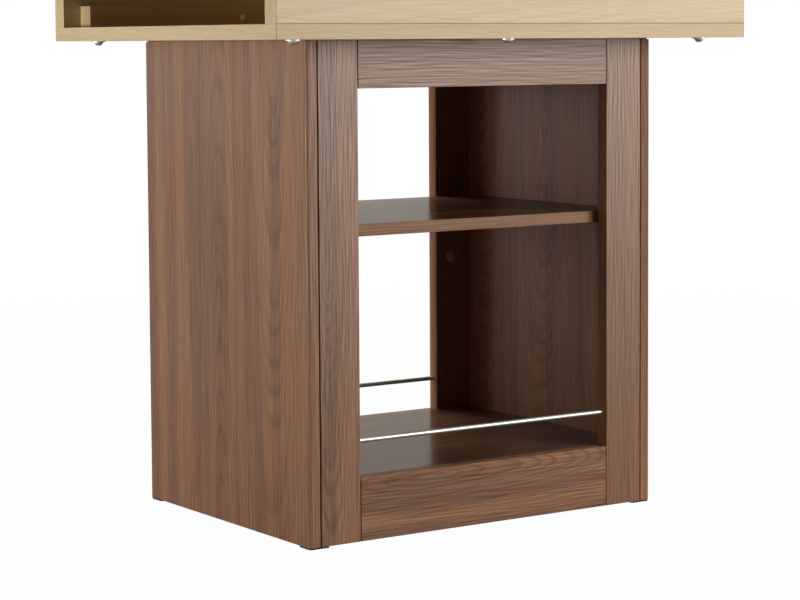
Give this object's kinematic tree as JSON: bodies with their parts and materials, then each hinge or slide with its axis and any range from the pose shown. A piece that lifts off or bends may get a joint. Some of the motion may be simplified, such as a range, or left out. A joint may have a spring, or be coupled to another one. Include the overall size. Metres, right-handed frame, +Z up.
{
  "type": "kitchen table with storage cabinet",
  "caption": "Kitchen table with a light oak box top open at both ends, on a walnut pedestal cabinet open front and back, with a loose shelf and guard rods.",
  "frame": {"origin": "on the floor, under the middle of the table", "axes": "+Z up, the front faces -Y, +X to the right of a viewer who faces the front"},
  "size_m": [0.71, 0.568, 0.76],
  "materials": {
    "walnut_board": "satin walnut-coloured laminate with open grain",
    "light_oak_board": "matt light oak-coloured laminate",
    "pine_cleat": "sanded softwood",
    "beech_dowel": "bare beech",
    "nickel_rod": "satin nickel plate",
    "zinc_lock": "die-cast zinc",
    "steel_fitting": "bright zinc plate",
    "dark_plastic": "moulded"
  },
  "bodies": {
    "table": {"left_side_panel": "walnut_board", "right_side_panel": "walnut_board", "front_left_stile": "walnut_board", "front_right_stile": "walnut_board", "back_left_stile": "walnut_board", "back_right_stile": "walnut_board", "front_top_rail": "walnut_board", "front_bottom_rail": "walnut_board", "back_top_rail": "walnut_board", "back_bottom_rail": "walnut_board", "cabinet_floor": "walnut_board", "top_box_floor": "light_oak_board", "front_apron_board": "light_oak_board", "back_apron_board": "light_oak_board", "centre_partition": "light_oak_board", "tabletop_panel": "light_oak_board", "left_top_cleat": "pine_cleat", "right_top_cleat": "pine_cleat", "front_apron_batten": "pine_cleat", "back_apron_batten": "pine_cleat", "rail_dowels": "beech_dowel", "top_box_dowels": "beech_dowel", "front_guard_rod": "nickel_rod", "back_guard_rod": "nickel_rod", "front_left_shelf_pin": "nickel_rod", "front_right_shelf_pin": "nickel_rod", "back_left_shelf_pin": "nickel_rod", "back_right_shelf_pin": "nickel_rod", "stile_cam_locks": "zinc_lock", "floor_cam_locks": "zinc_lock", "tabletop_cam_locks": "zinc_lock", "stile_cam_bolts": "steel_fitting", "floor_cam_bolts": "steel_fitting", "tabletop_cam_bolts": "steel_fitting", "cleat_screws": "steel_fitting", "top_fixing_screws": "steel_fitting", "batten_screws": "steel_fitting", "apron_bolts": "steel_fitting", "apron_bolt_washers": "steel_fitting", "front_left_foot_pad": "dark_plastic", "front_right_foot_pad": "dark_plastic", "back_left_foot_pad": "dark_plastic", "back_right_foot_pad": "dark_plastic"},
    "shelf": {"middle_shelf": "walnut_board"}
  },
  "joints": [
    {"name": "shelf_lift", "type": "slide", "parent": "table", "child": "shelf", "axis": [0, 0, 1], "range_m": [0, 0.19]}
  ]
}
